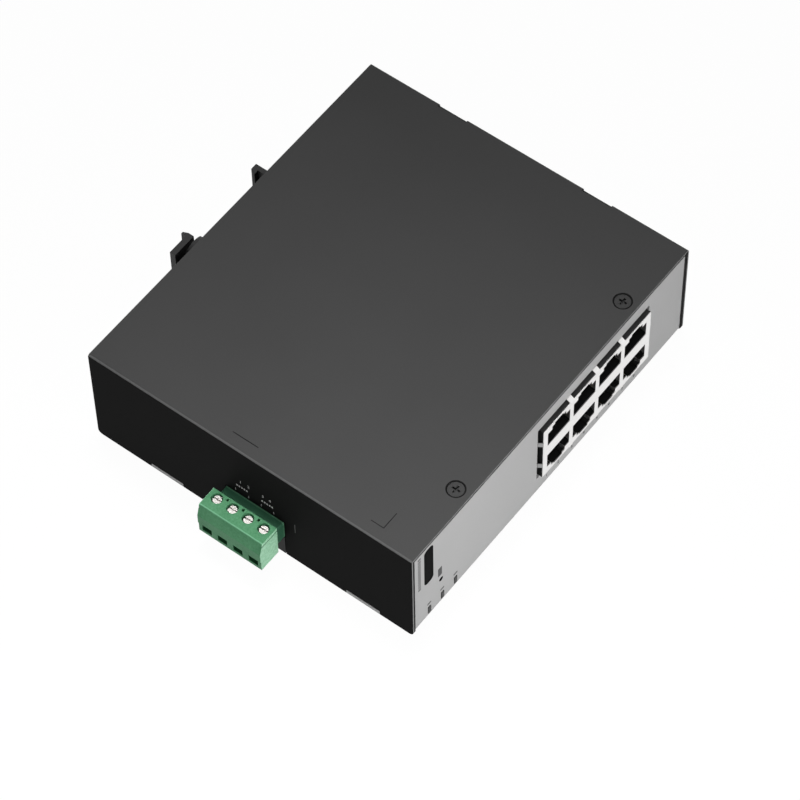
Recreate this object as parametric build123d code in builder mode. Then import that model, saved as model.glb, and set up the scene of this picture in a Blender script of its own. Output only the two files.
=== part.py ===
from build123d import *
import os

# An eight-port network switch for a rail, lying on its large light-grey face.
# X runs along the port panel, -Y is the port side, +Y the rail side, +Z is up.
# The origin is at the centre of the underside. All sizes are in millimetres.

# Enclosure
length = 148.0
depth = 129.0
height = 44.0
cover_sheet = 1.2
chassis_sheet = 1.6
fold_radius = 1.0
inner_fold = 0.3
corner_radius = 1.8
panel_setback = 0.4
side_gap = 0.4
front = -depth / 2
back = depth / 2
wall_inside = length / 2 - cover_sheet
chassis_half = wall_inside - side_gap
panel_face = front + panel_setback
panel_inside = panel_face + chassis_sheet
rear_face = back - panel_setback

# Tabs of the chassis in the notches of the cover's side walls
tab_length = 13.2
tab_places = (-44.5, 35.4)
notch_gap = 0.15
fold_slot_length = 11.6
fold_slot_places = (-28.6, 30.1)
fold_slot_cut = 1.5

# Cover screws, M3 countersunk, and the flanges that they go into
cover_screw_inset = 29.5
cover_screw_edge = 5.3
screw_radius = 1.45
countersunk_head = 2.75
countersunk_seat = 2.95
head_sink = 0.2
front_flange = 10.0
rear_flange = 6.0
flange_gap = 0.1
flange_hole = 1.8
screw_gap = 0.05
cover_screw_length = 6.0
nut_height = 2.4
nut_width = 5.4
cover_screw_x = length / 2 - cover_screw_inset
cover_screw_y = front + cover_screw_edge

# Cross recesses, and threads drawn as plain twelve-sided shanks and holes
recess_long = 3.0
recess_wide = 0.8
recess_deep = 0.9
thread_sides = 12

# Circuit board, at a height that brings the port block near the panel's middle
jack_height = 25.5
jack_lift = 0.55
board_thickness = 1.6
board_side_gap = 1.2
board_front_gap = 1.6
board_rear_gap = 11.4
standoff_height = (height - jack_height) / 2 + jack_lift - chassis_sheet - board_thickness
board_low = chassis_sheet + standoff_height
board_top = board_low + board_thickness
board_half = chassis_half - board_side_gap
board_front = panel_inside + board_front_gap
board_back = rear_face - chassis_sheet - board_rear_gap
board_hole_inset = 5.0
front_hole_inset = 12.5
standoff_width = 5.5
board_hole_radius = 1.6
pan_head = 2.8
pan_height = 1.6
board_screw_length = 5.0

# Stacked port block, two rows of four
port_pitch = 13.97
port_columns = 4
jack_side = 51.5
jack_wall = 1.36
jack_x = length / 2 - jack_side
jack_width = port_columns * port_pitch + 2 * jack_wall
jack_depth = 27.0
jack_proud = 1.5
jack_margin = 1.15
shield_sheet = 0.3
jack_gap = 0.05
port_width = 12.0
port_height = 6.7
port_offset = 2.8
key_widths = (7.4, 4.6)
key_rise = 1.55
port_reach = 19.0
contact_count = 8
contact_pitch = 1.02
contact_width = 0.45
contact_thick = 0.3
contact_rise = 2.1
contact_inset = 3.0
contact_length = 9.0
finger_width = 2.2
finger_rise = 1.0
finger_tail = 1.5
side_finger_spread = 6.0
tail_window_start = 8.0
lip_sheet = 0.2
lip_reach = 2.4
lip_rise = 1.2
lip_width = 4.0
jack_face = panel_face - jack_proud
jack_middle = board_top + jack_height / 2

# Status lights, reset key and their openings in the port panel
light_insets = (9.0, 15.8, 22.7)
light_places = [inset - length / 2 for inset in light_insets]
light_width = 1.4
light_floor_gap = 0.85
light_roof_gap = 2.25
lens_low = chassis_sheet + light_floor_gap
lens_high = board_low - light_roof_gap
light_gap = 0.1
light_proud = 0.2
riser_inset = 0.6
riser_length = 2.0
led_width = 1.6
led_height = 1.2
led_gap = 0.2
reset_inset = 15.2
reset_rise = 4.5
reset_x = reset_inset - length / 2
reset_z = board_top + reset_rise
reset_hole = 1.0
reset_pin_radius = 1.2
reset_fit = 0.05
reset_gap = 0.2
reset_stem = 2.0
reset_travel = 0.3
reset_body_width = 6.0
reset_body_depth = 4.4
reset_body_height = 7.3

# Power terminal: header on the board and the plug that pulls off
pole_pitch = 6.25
poles = 4
header_y = -1.7
header_proud = 4.5
header_height = 8.4
header_length = 12.0
header_wall = 0.8
header_reach = 8.6
pin_width = 1.0
pin_inset = 2.0
pin_tail = 1.2
pin_rise = 4.2
pin_side_gap = 1.0
pin_level = board_top + pin_rise
header_width = (poles - 1) * pole_pitch + pin_width + 2 * (header_wall + pin_side_gap)
header_corner = 0.4
slot_gap = 0.3
ear_gap = 0.4
header_rim = -length / 2 - header_proud
plug_gap = 0.1
plug_fit = 0.2
plug_side = 0.2
plug_rise = 7.8
plug_drop = 6.2
shoulder_rise = 2.6
plug_width = poles * pole_pitch + 2 * plug_side
plug_top = pin_level + plug_rise
plug_low = pin_level - plug_drop
plug_shoulder = pin_level + shoulder_rise
plug_top_length = 7.4
plug_slope = 1.4
plug_corner = 0.4
nose_length = 8.2
plug_back = header_rim - plug_gap
plug_face = plug_back - plug_top_length - plug_slope

# Clamp of each pole: a screw that turns in the plug and lifts a cage
clamp_inset = 2.5
clamp_x = plug_back - clamp_inset
cage_length = 3.8
cage_width = 4.6
cage_wall = 0.6
cage_plate = 0.9
cage_gap = 0.2
cage_travel = 2.0
bar_width = 3.0
bar_thick = 0.8
bar_drop = 1.7
bar_low = pin_level - bar_drop
wire_height = 2.8
entry_width = 3.8
entry_height = 3.4
entry_depth = 1.6
ledge_gap = 0.2
ledge_step = 0.3
clamp_shank = 1.2
clamp_head_radius = 1.7
clamp_head_height = 1.5
clamp_head_rise = 5.5
clamp_head_low = pin_level + clamp_head_rise
clamp_slot = 0.7
clamp_recess = 2.0
thread_gap = 0.08
clamp_hole = clamp_shank + thread_gap
tip_gap = 0.1
chamber_end_gap = 0.3
wire_width = 3.4
fork_thick = 0.6
fork_gap = 0.1
fork_tip_gap = 0.2
pocket_width = 3.2
pocket_front = 0.9
pin_hole = 1.5
key_pocket = (1.0, 0.8, 1.6)
end_groove = 0.5
groove_drop = 1.6
end_groove_level = plug_top - groove_drop
cage_window = wire_height + bar_thick + cage_gap
cage_low = bar_low - wire_height - cage_plate
cage_height = cage_window + 2 * cage_plate
cage_top = cage_low + cage_height

# Rail clip on the rear panel: a base with a fixed hook and a sprung latch
rail_width = 35.0
rail_x = 3.4
clip_z = height / 2
clip_base_width = 19.6
clip_hook_width = 26.0
clip_corner = 1.2
clip_stand = 5.9
clip_face = back + clip_stand
rail_groove = 1.2
lip_thick = 2.2
fixed_engage = 1.7
latch_engage = 1.5
rail_play = 0.2
fixed_leg = 1.8
clip_base_left = -34.0
latch_left = -22.3
latch_nub = 1.8
latch_nub_length = 1.6
latch_travel = 4.0
tongue_width = 12.0
tongue_thick = 3.0
tongue_gap = 0.3
tongue_left = -42.0
tongue_right = -15.0
tongue_slot = (3.0, 6.0)
latch_web_length = 5.3
latch_web_width = 14.0
tongue_corner = 1.0
spring_length = 15.0
spring_bars = 8
spring_reach = 4.5
spring_strip = 0.4
spring_width = 2.4
spring_gap = 0.1
eye_x = -14.0
eye_width = 7.3
eye_top = clip_z + clip_hook_width / 2
eye_wall = 0.9
eye_thick = 2.0
clip_screw_places = (5.0, 15.5)
clip_screw_radius = 1.4
clip_screw_head = 2.7
clip_screw_head_height = 1.8
clip_screw_sink = 3.2
clip_screw_length = 6.5
clip_nut_height = 1.6

# Parts that are soldered to the upper side of the board, placed from the port block
# or from the board's left and rear edges
transformer_width = 12.4
transformer_depth = 16.0
transformer_height = 6.0
transformer_gap = 1.5
transformer_chamfer = 0.6
transformer_front = jack_face + jack_depth + transformer_gap
transformer_back = transformer_front + transformer_depth
chip_width = 20.0
chip_height = 1.4
chip_shift = 2.5
pad_height = 0.5
sink_width = 30.0
sink_gap = 2.1
sink_base = 2.0
sink_height = 10.0
fin_thick = 1.2
fin_count = 8
chip_place = (jack_x - chip_shift, transformer_back + sink_gap + sink_width / 2)
crystal_size = (4.7, 11.4, 3.5)
crystal_corner = 2.0
crystal_gap = 2.7
crystal_place = (chip_place[0] - sink_width / 2 - crystal_gap - crystal_size[0] / 2, chip_place[1])
power_row = 59.1
inductor_inset = 25.2
inductor_place = (inductor_inset - board_half, board_back - power_row)
inductor_width = 12.5
inductor_height = 7.0
inductor_corner = 2.5
regulator_inset = 43.2
regulator_place = (regulator_inset - board_half, board_back - power_row)
regulator_size = (6.6, 9.6, 2.3)
capacitor_row = 27.1
capacitor_insets = (21.2, 34.2)
capacitor_places = [(inset - board_half, board_back - capacitor_row) for inset in capacitor_insets]
capacitor_radius = 5.0
capacitor_height = 16.0
capacitor_rim = 0.8
fuse_inset = 15.2
fuse_row = 41.1
fuse_place = (fuse_inset - board_half, board_back - fuse_row)
fuse_size = (6.2, 2.6, 2.6)
chip_part_shift = 36.5
chip_part_step = 5.1
chip_part_place = (jack_x - chip_part_shift, transformer_front + chip_part_step)
chip_part_size = (1.6, 0.8, 0.5)
chip_part_pitch = (3.4, 2.6)

os.makedirs("parts", exist_ok=True)


def row(count, pitch, middle=0.0):
    """Places of count things in a row with the given pitch."""
    return [middle + (i - (count - 1) / 2) * pitch for i in range(count)]


def thread(radius, places, mode=Mode.ADD):
    """Outline of a plain shank or threaded hole at each of places in the open sketch."""
    with Locations(places):
        RegularPolygon(radius, thread_sides, mode=mode)


# Cover: one folded steel sheet, a top plate with a side wall at each end
cover_top = height - cover_sheet
header_top = board_top + header_height
slot_width = header_width + 2 * slot_gap
with BuildPart() as cover:
    with BuildSketch(Plane.XZ):
        with Locations((0, height / 2)):
            Rectangle(length, height)
        fillet(vertices().group_by(Axis.Y)[-1], fold_radius)
        with Locations((0, cover_top / 2)):
            Rectangle(length - 2 * cover_sheet, cover_top, mode=Mode.SUBTRACT)
    extrude(amount=depth / 2, both=True)
    low_corners = edges().filter_by(Axis.X).group_by(Axis.Z)[0]
    fillet(low_corners, corner_radius)
    with BuildSketch(Plane.YZ.offset(-length / 2)):
        with Locations((header_y, (header_top + slot_gap) / 2)):
            Rectangle(slot_width, header_top + slot_gap)
    extrude(amount=cover_sheet, mode=Mode.SUBTRACT)
    with Locations([(0, y, chassis_sheet / 2) for y in tab_places]):
        Box(length, tab_length + 2 * notch_gap, chassis_sheet + 2 * notch_gap, mode=Mode.SUBTRACT)
    with Locations([(length / 2, y, height) for y in fold_slot_places]):
        Box(2 * fold_slot_cut, fold_slot_length, 2 * fold_slot_cut, mode=Mode.SUBTRACT)
    with Locations([(x, cover_screw_y, height) for x in (-cover_screw_x, cover_screw_x)]):
        CounterSinkHole(radius=screw_radius, counter_sink_radius=countersunk_seat, depth=cover_sheet)
cover.part.label = "cover"
export_step(cover.part, "parts/cover.step")

# Chassis: one folded sheet with the bottom, the port panel and the rear panel
flange_top = cover_top - flange_gap
chassis_fold = chassis_sheet + inner_fold
jack_window_width = jack_width + 2 * jack_margin
jack_window_height = jack_height + 2 * jack_margin
ear_top = board_top - ear_gap
light_middle = (lens_low + lens_high) / 2
light_opening = lens_high - lens_low + 2 * light_gap
with BuildPart() as chassis:
    with BuildSketch(Plane.YZ):
        with BuildLine():
            folded = FilletPolyline(
                (panel_face + front_flange, flange_top),
                (panel_face, flange_top),
                (panel_face, 0),
                (rear_face, 0),
                (rear_face, flange_top),
                (rear_face - rear_flange, flange_top),
                radius=chassis_fold,
            )
            offset(folded, amount=chassis_sheet, side=Side.LEFT)
        make_face()
    extrude(amount=chassis_half, both=True)
    with Locations([(0, y, chassis_sheet / 2) for y in tab_places]):
        Box(length, tab_length, chassis_sheet)
    with Locations((-length / 2 + chassis_sheet / 2, header_y, ear_top / 2)):
        Box(chassis_sheet, header_width, ear_top)
    with BuildSketch(Plane.XZ.offset(-panel_face)):
        with Locations((jack_x, jack_middle)):
            Rectangle(jack_window_width, jack_window_height)
        with Locations([(x, light_middle) for x in light_places]):
            Rectangle(light_width + 2 * light_gap, light_opening)
        with Locations((reset_x, reset_z)):
            Circle(reset_hole)
    extrude(amount=-chassis_sheet, mode=Mode.SUBTRACT)
    with BuildSketch(Plane.XZ.offset(-rear_face)):
        thread(clip_screw_radius + screw_gap, [(x, clip_z) for x in clip_screw_places])
    extrude(amount=chassis_sheet, mode=Mode.SUBTRACT)
    with BuildSketch(Plane.XY.offset(flange_top)):
        thread(flange_hole, [(x, cover_screw_y) for x in (-cover_screw_x, cover_screw_x)])
    extrude(amount=-chassis_sheet, mode=Mode.SUBTRACT)
chassis.part.label = "chassis"
export_step(chassis.part, "parts/chassis.step")

# Screws and clinched nuts that hold the cover to the chassis
cover_screw_places = [(x, cover_screw_y) for x in (-cover_screw_x, cover_screw_x)]
head_top = height - head_sink
shank_radius = screw_radius - screw_gap
head_taper = countersunk_head - shank_radius
with BuildPart() as cover_screws:
    with BuildSketch(Plane.XY.offset(head_top)):
        thread(shank_radius, cover_screw_places)
    extrude(amount=-cover_screw_length)
    with Locations([(x, y, head_top - head_taper / 2) for x, y in cover_screw_places]):
        Cone(shank_radius, countersunk_head, head_taper)
    with Locations([(x, y, head_top) for x, y in cover_screw_places]):
        Box(recess_wide, recess_long, 2 * recess_deep, mode=Mode.SUBTRACT)
        Box(recess_long, recess_wide, 2 * recess_deep, mode=Mode.SUBTRACT)
cover_screws.part.label = "cover_screws"
export_step(cover_screws.part, "parts/cover_screws.step")

nut_top = flange_top - chassis_sheet
with BuildPart() as cover_nuts:
    with BuildSketch(Plane.XY.offset(nut_top)):
        with Locations(cover_screw_places):
            RegularPolygon(nut_width / 2, 6, major_radius=False)
        thread(screw_radius, cover_screw_places, Mode.SUBTRACT)
    extrude(amount=-nut_height)
cover_nuts.part.label = "cover_nuts"
export_step(cover_nuts.part, "parts/cover_nuts.step")

# Circuit board on hexagonal standoffs, held by pan-head screws
hole_x = board_half - board_hole_inset
hole_back = board_back - board_hole_inset
hole_front = board_front + front_hole_inset
hole_places = [(x, y) for x in (-hole_x, hole_x) for y in (hole_front, hole_back)]
pole_places = row(poles, pole_pitch, header_y)
pin_bend_x = header_rim + header_length + pin_width
with BuildPart() as circuit_board:
    with BuildSketch(Plane.XY.offset(board_low)):
        with Locations((0, (board_front + board_back) / 2)):
            Rectangle(2 * board_half, board_back - board_front)
        thread(board_hole_radius, hole_places, Mode.SUBTRACT)
        thread(pin_width, [(pin_bend_x, y) for y in pole_places], Mode.SUBTRACT)
    extrude(amount=board_thickness)
circuit_board.part.label = "circuit_board"
export_step(circuit_board.part, "parts/circuit_board.step")

with BuildPart() as board_standoffs:
    with BuildSketch(Plane.XY.offset(chassis_sheet)):
        with Locations(hole_places):
            RegularPolygon(standoff_width / 2, 6, major_radius=False)
        thread(screw_radius, hole_places, Mode.SUBTRACT)
    extrude(amount=standoff_height)
board_standoffs.part.label = "board_standoffs"
export_step(board_standoffs.part, "parts/board_standoffs.step")

with BuildPart() as board_screws:
    with BuildSketch(Plane.XY.offset(board_top)):
        thread(shank_radius, hole_places)
    extrude(amount=-board_screw_length)
    with Locations([(x, y, board_top) for x, y in hole_places]):
        Cylinder(pan_head, pan_height, align=(Align.CENTER, Align.CENTER, Align.MIN))
    with Locations([(x, y, board_top + pan_height) for x, y in hole_places]):
        Box(recess_wide, recess_long, 2 * recess_deep, mode=Mode.SUBTRACT)
        Box(recess_long, recess_wide, 2 * recess_deep, mode=Mode.SUBTRACT)
board_screws.part.label = "board_screws"
export_step(board_screws.part, "parts/board_screws.step")

# Port block: moulded housing with eight sockets, keyways outwards
port_places = row(port_columns, port_pitch, jack_x)
key_width, key_slot = key_widths


def socket_profile(turned):
    """Socket opening of one port, with its stepped keyway up or, turned, down."""
    side = -1 if turned else 1
    floor = jack_middle + side * port_offset
    roof = floor + side * port_height
    step = roof + side * key_rise
    top = step + side * key_rise / 2
    half = [(port_width / 2, floor), (port_width / 2, roof), (key_width / 2, roof)]
    half += [(key_width / 2, step), (key_slot / 2, step), (key_slot / 2, top)]
    return half + [(-x, z) for x, z in reversed(half)]


def lip_outlines(gap):
    """Outlines of the lips beside every socket and keyway, widened by gap, in the open sketch."""
    beside_socket = (port_width / 2, port_offset + lip_rise + lip_width / 2, lip_width)
    beside_key = (key_width / 2, port_offset + port_height + key_rise / 2, key_rise)
    for half, rise, wide in (beside_socket, beside_key):
        for side in (-1, 1):
            places = [(x + side * (half + lip_sheet / 2), jack_middle + rise) for x in port_places]
            places += [(x, 2 * jack_middle - z) for x, z in places]
            with Locations(places):
                Rectangle(lip_sheet + 2 * gap, wide + 2 * gap)


housing_face = jack_face + shield_sheet
with BuildPart() as jack_housing:
    with BuildSketch(Plane.XZ.offset(-housing_face)):
        with Locations((jack_x, jack_middle)):
            Rectangle(jack_width - 2 * shield_sheet, jack_height - 2 * shield_sheet)
    extrude(amount=-(jack_depth - 2 * shield_sheet))
    with BuildSketch(Plane.XZ.offset(-housing_face)):
        for turned in (False, True):
            with Locations([(x, 0) for x in port_places]):
                Polygon(*socket_profile(turned), align=None)
    extrude(amount=-port_reach, mode=Mode.SUBTRACT)
    with BuildSketch(Plane.XZ.offset(-housing_face)):
        lip_outlines(jack_gap)
    extrude(amount=-lip_reach, mode=Mode.SUBTRACT)
jack_housing.part.label = "jack_housing"
export_step(jack_housing.part, "parts/jack_housing.step")

# Shield: thin tinned sheet round the housing, with sprung grounding fingers outside
# and lips that are folded in beside each socket and its keyway
shell = (jack_width, jack_depth, jack_height)
shell_align = (Align.CENTER, Align.MIN, Align.CENTER)


def finger_line(wall):
    """Points of a finger's bent line, from the wall's inner side out to the panel and back."""
    crest = wall + finger_rise - shield_sheet
    return [
        (jack_face, wall - shield_sheet),
        (panel_face, crest),
        (panel_inside, crest),
        (panel_inside + finger_tail, wall - shield_sheet),
    ]


with BuildPart() as jack_shield:
    with Locations((jack_x, jack_face, jack_middle)):
        Box(*shell, align=shell_align)
    with Locations((jack_x, housing_face, jack_middle)):
        Box(*[side - 2 * shield_sheet for side in shell], align=shell_align, mode=Mode.SUBTRACT)
    with BuildSketch(*[Plane.YZ.offset(x) for x in row(port_columns - 1, port_pitch, jack_x)]):
        with BuildLine():
            upper_bend = Polyline(*finger_line(jack_middle + jack_height / 2))
            offset(upper_bend, amount=shield_sheet, kind=Kind.INTERSECTION, side=Side.LEFT)
        make_face()
    extrude(amount=finger_width / 2, both=True)
    with BuildSketch(Plane.XY.offset(jack_middle + side_finger_spread)):
        with BuildLine():
            side_bend = Polyline(*[(out, y) for y, out in finger_line(jack_x + jack_width / 2)])
            offset(side_bend, amount=shield_sheet, kind=Kind.INTERSECTION, side=Side.RIGHT)
        make_face()
    extrude(amount=finger_width / 2, both=True)
    mirror(about=Plane.XY.offset(jack_middle))
    mirror(about=Plane.YZ.offset(jack_x))
    with BuildSketch(Plane.XZ.offset(-jack_face)):
        for turned in (False, True):
            with Locations([(x, 0) for x in port_places]):
                Polygon(*socket_profile(turned), align=None)
    extrude(amount=-shield_sheet, mode=Mode.SUBTRACT)
    with BuildSketch(Plane.XZ.offset(-jack_face)):
        lip_outlines(0)
    extrude(amount=-lip_reach)
    with BuildSketch(Plane.XY.offset(board_top)):
        with Locations((jack_x, jack_face + (tail_window_start + jack_depth) / 2)):
            Rectangle(jack_width - 2 * jack_margin, jack_depth - tail_window_start - 2 * shield_sheet)
    extrude(amount=shield_sheet, mode=Mode.SUBTRACT)
jack_shield.part.label = "jack_shield"
export_step(jack_shield.part, "parts/jack_shield.step")

# Contacts: eight wires a port, folded back over themselves on the socket's floor
contact_floor = jack_middle + port_offset
contact_front = housing_face + contact_inset
contact_tip = contact_front + contact_length
contact_back = housing_face + port_reach
contact_fold = contact_tip - (contact_rise - 2 * contact_thick) * contact_length / contact_rise
contact_places = [x for port in port_places for x in row(contact_count, contact_pitch, port)]
with BuildPart() as jack_contacts:
    with BuildSketch(*[Plane.YZ.offset(x) for x in contact_places]):
        Polygon(
            (contact_back, contact_floor),
            (contact_front, contact_floor),
            (contact_tip, contact_floor + contact_rise),
            (contact_tip, contact_floor + contact_rise - contact_thick),
            (contact_fold, contact_floor + contact_thick),
            (contact_back, contact_floor + contact_thick),
            align=None,
        )
    extrude(amount=contact_width / 2, both=True)
    mirror(about=Plane.XY.offset(jack_middle))
jack_contacts.part.label = "jack_contacts"
export_step(jack_contacts.part, "parts/jack_contacts.step")

# Lights under the board's front edge and the clear pipes that lead them to the panel
lens_face = panel_face - light_proud
lens_top = board_low - led_height - led_gap
riser_front = board_front + riser_inset
riser_back = riser_front + riser_length
with BuildPart() as led_lenses:
    with BuildSketch(*[Plane.YZ.offset(x) for x in light_places]):
        with BuildLine():
            Polyline(
                (lens_face, lens_low),
                (lens_face, lens_high),
                (riser_front, lens_high),
                (riser_front, lens_top),
                (riser_back, lens_top),
                (riser_back, lens_high),
                (riser_back - riser_length / 2, lens_low),
                close=True,
            )
        make_face()
    extrude(amount=light_width / 2, both=True)
led_lenses.part.label = "led_lenses"
export_step(led_lenses.part, "parts/led_lenses.step")

with BuildPart() as status_leds:
    with Locations([(x, (riser_front + riser_back) / 2, board_low) for x in light_places]):
        Box(led_width, riser_length, led_height, align=(Align.CENTER, Align.CENTER, Align.MAX))
status_leds.part.label = "status_leds"
export_step(status_leds.part, "parts/status_leds.step")

# Reset switch on the board's front edge, with its key behind the pin hole
key_face = panel_inside + reset_gap
key_back = board_front + reset_stem
with BuildPart() as reset_switch:
    with Locations((reset_x, board_front + reset_body_depth / 2, board_top + reset_body_height / 2)):
        Box(reset_body_width, reset_body_depth, reset_body_height)
    with BuildSketch(Plane.XZ.offset(-board_front)):
        with Locations((reset_x, reset_z)):
            Circle(reset_pin_radius + reset_fit)
    extrude(amount=-(reset_stem + reset_travel + reset_fit), mode=Mode.SUBTRACT)
reset_switch.part.label = "reset_switch"
export_step(reset_switch.part, "parts/reset_switch.step")

with BuildPart() as reset_button:
    with BuildSketch(Plane.XZ.offset(-key_face)):
        with Locations((reset_x, reset_z)):
            Circle(reset_pin_radius)
    extrude(amount=-(key_back - key_face))
reset_button.part.label = "reset_button"
export_step(reset_button.part, "parts/reset_button.step")

# Header for the power plug: an open box with a square pin for each pole
header_middle = board_top + header_height / 2
cavity_width = header_width - 2 * header_wall
cavity_height = header_height - 2 * header_wall
with BuildPart() as terminal_header:
    with BuildSketch(Plane.YZ.offset(header_rim)):
        with Locations((header_y, header_middle)):
            Rectangle(header_width, header_height)
    extrude(amount=header_length)
    chamfer(edges().filter_by(Axis.X), header_corner)
    with BuildSketch(Plane.YZ.offset(header_rim)):
        with Locations((header_y, header_middle)):
            Rectangle(cavity_width, cavity_height)
    extrude(amount=header_reach, mode=Mode.SUBTRACT)
    with BuildSketch(Plane.YZ.offset(header_rim)):
        with Locations([(y, pin_level) for y in pole_places]):
            Rectangle(pin_width, pin_width)
    extrude(amount=header_length, mode=Mode.SUBTRACT)
terminal_header.part.label = "terminal_header"
export_step(terminal_header.part, "parts/terminal_header.step")

pin_tip = header_rim + pin_inset
pin_back = pin_bend_x + pin_width / 2
pin_top = pin_level + pin_width / 2
pin_foot = board_low - pin_tail
with BuildPart() as header_pins:
    with BuildSketch(*[Plane.XZ.offset(-y) for y in pole_places]):
        with Locations(((pin_tip + pin_back) / 2, pin_level)):
            Rectangle(pin_back - pin_tip, pin_width)
        with Locations((pin_bend_x, (pin_top + pin_foot) / 2)):
            Rectangle(pin_width, pin_top - pin_foot)
    extrude(amount=pin_width / 2, both=True)
header_pins.part.label = "header_pins"
export_step(header_pins.part, "parts/header_pins.step")

# Plug body: a block that stands outside the header, with a nose that fills it
chamber_length = cage_length + 2 * chamber_end_gap
chamber_width = cage_width + 2 * cage_gap
chamber_low = cage_low - 2 * cage_gap
chamber_top = cage_top + cage_travel + cage_gap
chamber_back = clamp_x + chamber_length / 2
bar_top = bar_low + bar_thick
upper_leaf = pin_level + pin_width / 2 + fork_gap
lower_leaf = pin_level - pin_width / 2 - fork_gap - fork_thick
pocket_low = bar_low - fork_gap
pocket_high = upper_leaf + fork_thick + fork_gap
nose_end = plug_back + nose_length
pocket_end = nose_end - pocket_front
ledge_level = bar_low + ledge_gap
entry_face = plug_face + ledge_step
entry_end = entry_face + entry_depth
block_middle = (plug_face + plug_back) / 2
pocket_length, pocket_wide, pocket_deep = key_pocket
gap_places = row(poles - 1, pole_pitch, header_y)
with BuildPart() as plug_body:
    with BuildSketch(Plane.XZ.offset(-header_y)):
        with BuildLine():
            Polyline(
                (plug_back, plug_low),
                (plug_back, plug_top),
                (plug_back - plug_top_length, plug_top),
                (plug_face, plug_shoulder),
                (plug_face, ledge_level),
                (entry_face, ledge_level),
                (entry_face, plug_low),
                close=True,
            )
        make_face()
    extrude(amount=plug_width / 2, both=True)
    top_edge = edges().filter_by(Axis.Y).group_by(Axis.Z)[-1].sort_by(Axis.X)[0]
    fillet(top_edge, plug_corner)
    with BuildSketch(Plane.YZ.offset(plug_back)):
        with Locations((header_y, header_middle)):
            Rectangle(cavity_width - 2 * plug_fit, cavity_height - 2 * plug_fit)
    extrude(amount=nose_length)
    with Locations([(clamp_x, y, chamber_low) for y in pole_places]):
        Box(
            chamber_length,
            chamber_width,
            chamber_top - chamber_low,
            align=(Align.CENTER, Align.CENTER, Align.MIN),
            mode=Mode.SUBTRACT,
        )
    with BuildSketch(Plane.YZ.offset(entry_face)):
        with Locations([(y, bar_low - entry_height / 2) for y in pole_places]):
            Rectangle(entry_width, entry_height)
    extrude(amount=entry_depth, mode=Mode.SUBTRACT)
    with BuildSketch(Plane.YZ.offset(entry_end)):
        with Locations([(y, bar_low - wire_height / 2) for y in pole_places]):
            Rectangle(wire_width, wire_height)
    extrude(amount=chamber_back - entry_end - chamber_length, mode=Mode.SUBTRACT)
    with BuildSketch(Plane.YZ.offset(chamber_back)):
        with Locations([(y, (pocket_low + pocket_high) / 2) for y in pole_places]):
            Rectangle(pocket_width, pocket_high - pocket_low)
    extrude(amount=pocket_end - chamber_back, mode=Mode.SUBTRACT)
    with BuildSketch(Plane.YZ.offset(pocket_end)):
        with Locations([(y, pin_level) for y in pole_places]):
            Rectangle(pin_hole, pin_hole)
    extrude(amount=pocket_front, mode=Mode.SUBTRACT)
    with BuildSketch(Plane.XY.offset(plug_top)):
        with Locations([(clamp_x, y) for y in pole_places]):
            Circle(clamp_recess)
    extrude(amount=-(plug_top - clamp_head_low + tip_gap), mode=Mode.SUBTRACT)
    with BuildSketch(Plane.XY.offset(clamp_head_low)):
        thread(clamp_hole, [(clamp_x, y) for y in pole_places])
    extrude(amount=-(clamp_head_low - chamber_top), mode=Mode.SUBTRACT)
    with Locations([(plug_back - pocket_length, y, plug_top) for y in gap_places]):
        Box(pocket_length, pocket_wide, 2 * pocket_deep, mode=Mode.SUBTRACT)
    with Locations([(block_middle, header_y + side * plug_width / 2, end_groove_level) for side in (-1, 1)]):
        Box(plug_back - plug_face, 2 * end_groove, end_groove, mode=Mode.SUBTRACT)
plug_body.part.label = "plug_body"
export_step(plug_body.part, "parts/plug_body.step")

# Plug contacts: a bar through each clamp and a fork that grips the pin
fork_front = chamber_back + fork_tip_gap
bar_start = clamp_x - cage_length / 2 + chamber_end_gap
fork_end = pocket_end - fork_tip_gap
with BuildPart() as plug_contacts:
    with BuildSketch(*[Plane.XZ.offset(-y) for y in pole_places]):
        with Locations((bar_start, bar_low)):
            Rectangle(fork_front + fork_thick - bar_start, bar_thick, align=Align.MIN)
        with Locations((fork_front, bar_low)):
            Rectangle(fork_thick, upper_leaf + fork_thick - bar_low, align=Align.MIN)
        with Locations((fork_front, lower_leaf)):
            Rectangle(fork_end - fork_front, fork_thick, align=Align.MIN)
        with Locations((fork_front, upper_leaf)):
            Rectangle(fork_end - fork_front, fork_thick, align=Align.MIN)
    extrude(amount=bar_width / 2, both=True)
plug_contacts.part.label = "plug_contacts"
export_step(plug_contacts.part, "parts/plug_contacts.step")

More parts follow.
